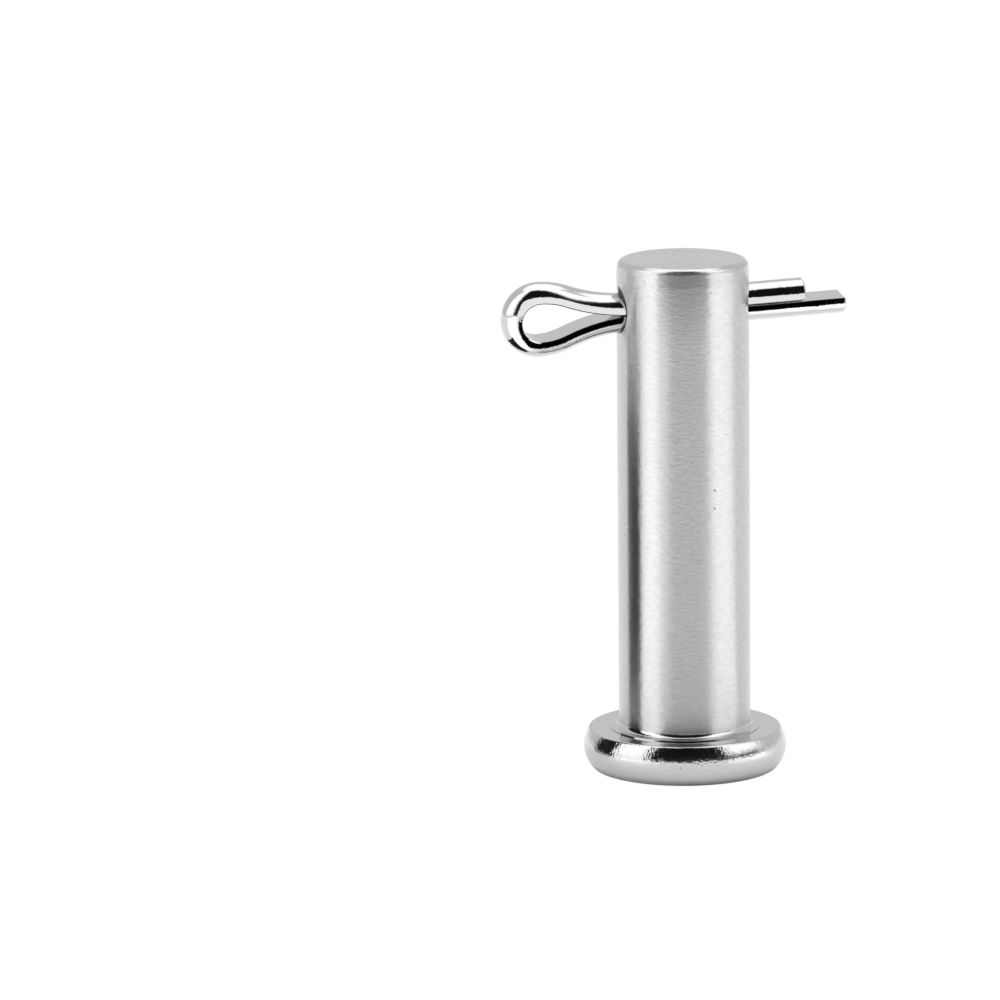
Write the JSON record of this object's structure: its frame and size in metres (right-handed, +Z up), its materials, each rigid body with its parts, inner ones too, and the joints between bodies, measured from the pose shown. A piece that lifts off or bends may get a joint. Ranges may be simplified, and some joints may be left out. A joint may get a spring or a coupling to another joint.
{
  "type": "clevis pin with cotter pin",
  "caption": "Headed steel clevis pin standing on its head, with a cotter pin through its cross hole.",
  "frame": {"origin": "centre of the head's flat outer face, which the pin stands on", "axes": "+Z up the shank to the free end; +X along the cross hole, out of the mouth where the cotter pin's legs end; +Y completes the right-handed frame"},
  "size_m": [0.0263, 0.0154, 0.0392],
  "materials": {
    "pin_steel": "turned stainless steel: satin shank and end face, tumbled bright head",
    "cotter_steel": "drawn stainless wire, bright"
  },
  "bodies": {
    "root": {"clevis_pin": "pin_steel", "cotter_pin": "cotter_steel"}
  },
  "joints": []
}
